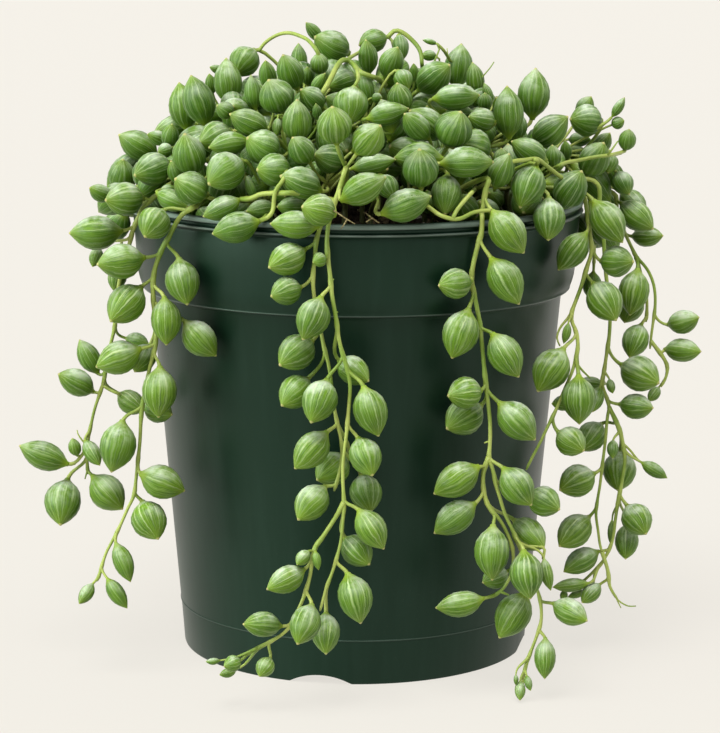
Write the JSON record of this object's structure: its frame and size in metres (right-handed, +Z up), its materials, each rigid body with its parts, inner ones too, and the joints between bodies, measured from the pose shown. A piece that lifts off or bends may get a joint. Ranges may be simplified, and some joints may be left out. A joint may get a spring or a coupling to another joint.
{
  "type": "potted trailing succulent",
  "caption": "Trailing houseplant with plump teardrop leaves on thin hanging stems, standing in a tapered round nursery pot filled with potting mix",
  "frame": {"origin": "middle of the pot's flat underside, on the floor", "axes": "+Z up along the pot's axis; -Y toward the viewer of the picture; +X to the viewer's right"},
  "size_m": [0.247, 0.2071, 0.2277],
  "materials": {
    "pot": "very dark green moulded plastic with a soft sheen",
    "soil": "dark brown crumbly peat mix, dull",
    "foliage": "waxy green leaf with pale silvery stripes along it, yellow-green stem"
  },
  "bodies": {
    "root": {"pot": "pot", "potting_mix": "soil", "shoot_01": "foliage", "shoot_02": "foliage", "shoot_03": "foliage", "shoot_04": "foliage", "shoot_05": "foliage", "shoot_06": "foliage", "shoot_07": "foliage", "shoot_08": "foliage", "shoot_09": "foliage", "shoot_10": "foliage", "shoot_11": "foliage", "shoot_12": "foliage", "shoot_13": "foliage", "shoot_14": "foliage", "shoot_15": "foliage", "shoot_16": "foliage", "shoot_17": "foliage", "shoot_18": "foliage", "shoot_19": "foliage", "shoot_20": "foliage", "shoot_21": "foliage", "shoot_22": "foliage", "shoot_23": "foliage", "shoot_24": "foliage", "shoot_25": "foliage", "shoot_26": "foliage", "strand_back_012": "foliage", "strand_back_042": "foliage", "strand_back_062": "foliage", "strand_back_086": "foliage", "strand_back_111": "foliage", "strand_back_138": "foliage", "strand_back_167": "foliage", "strand_centre": "foliage", "strand_centre_left": "foliage", "strand_left_inner": "foliage", "strand_left_outer": "foliage", "strand_right_centre": "foliage", "strand_right_inner": "foliage", "strand_right_middle": "foliage", "strand_right_outer": "foliage"}
  },
  "joints": []
}
